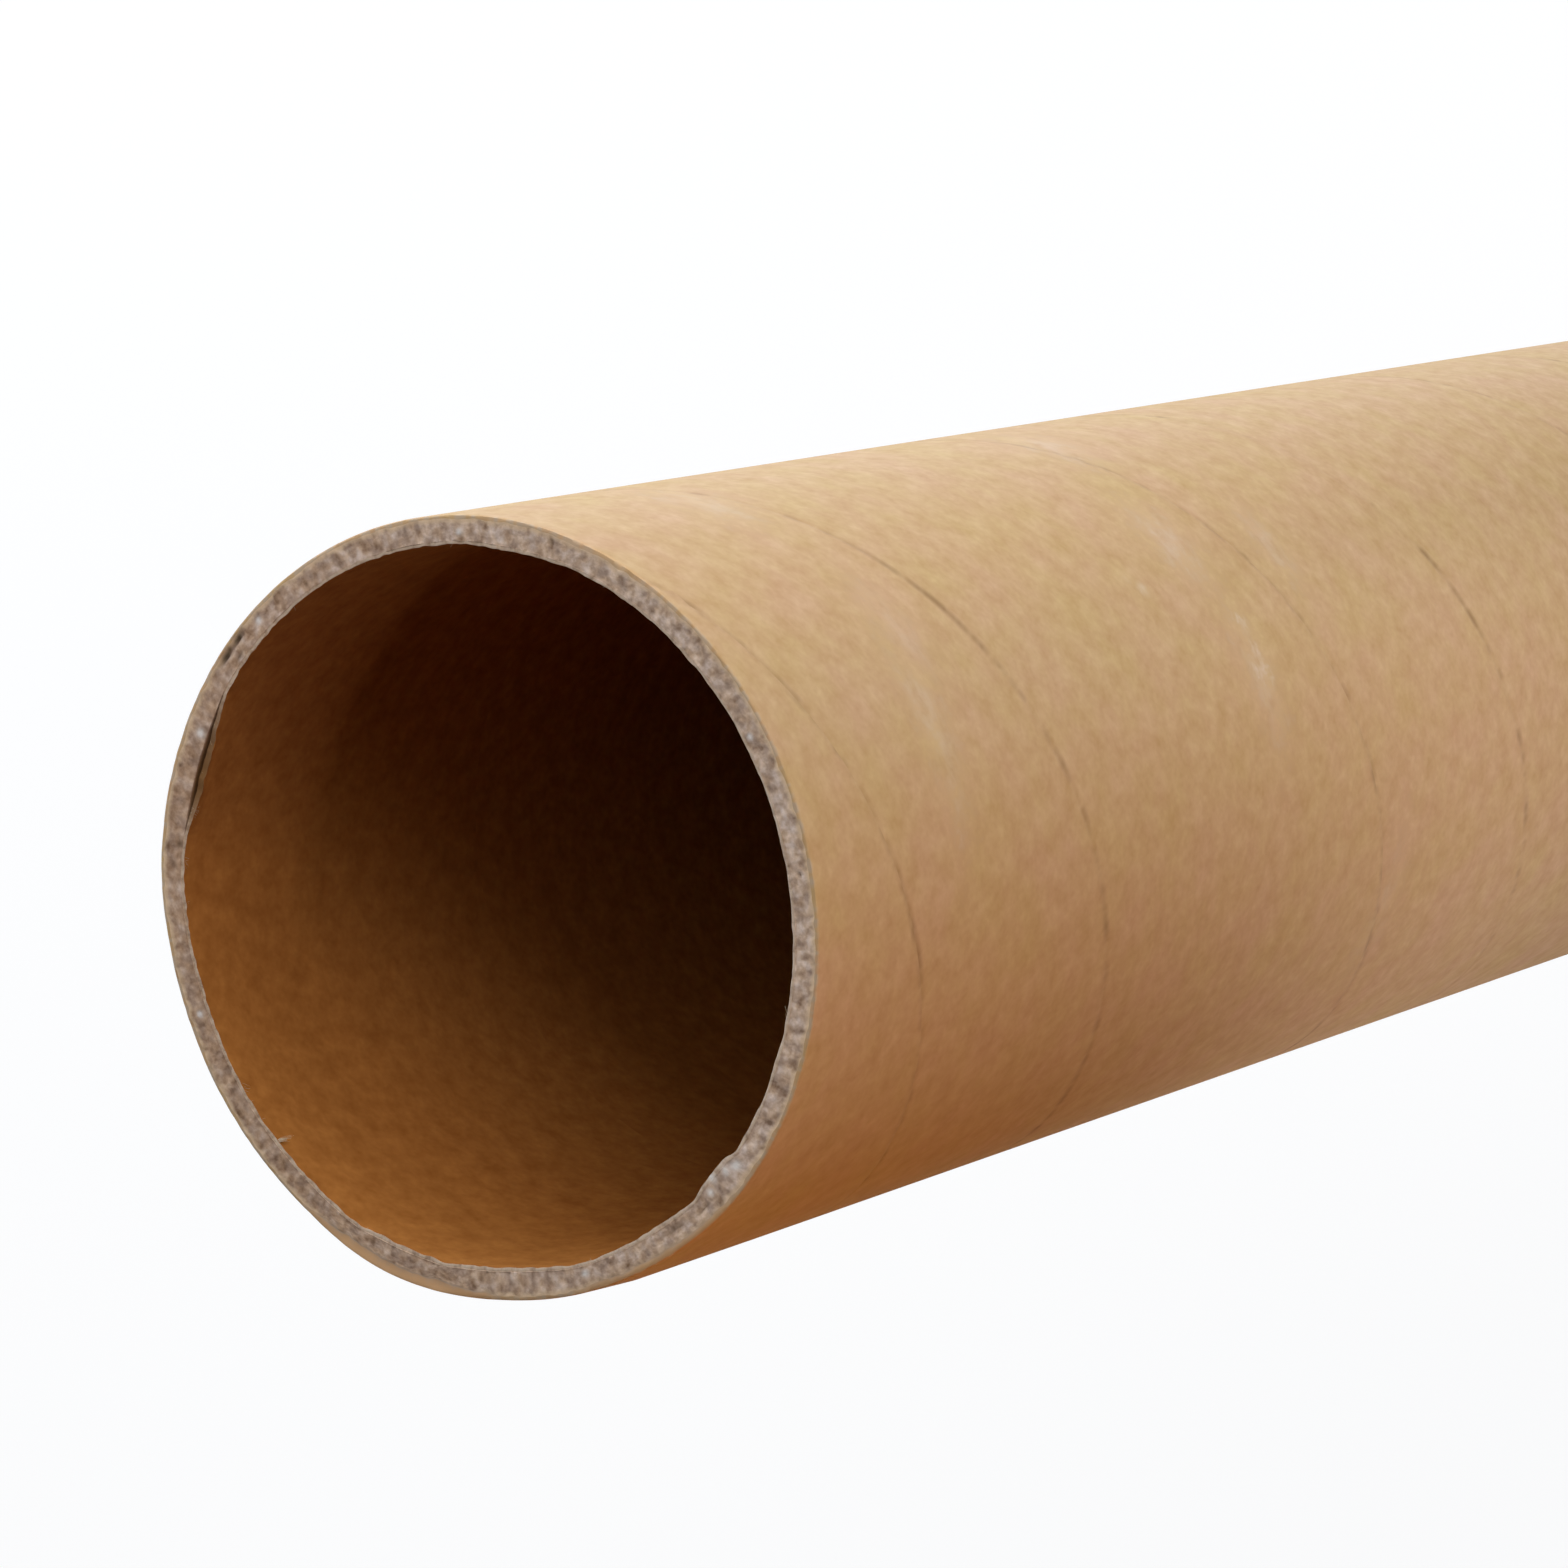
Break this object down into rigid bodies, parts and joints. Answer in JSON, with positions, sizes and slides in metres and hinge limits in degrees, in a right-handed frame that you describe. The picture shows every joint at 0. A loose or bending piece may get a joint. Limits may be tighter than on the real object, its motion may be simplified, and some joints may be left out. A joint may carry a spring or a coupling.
{
  "type": "cardboard mailing tube",
  "caption": "Open-ended round cardboard tube with a spiral-wound paper wall, for posting and storing rolled sheets.",
  "frame": {"origin": "centre of the cut end that the tube stands on", "axes": "+Z along the tube's axis, up to the open end that the picture looks into; +X is the upper side of the tube as the picture shows it"},
  "size_m": [0.082, 0.082, 0.61],
  "materials": {
    "kraft_board": "matt brown kraft paper over grey board"
  },
  "bodies": {
    "root": {"tube": "kraft_board"}
  },
  "joints": []
}
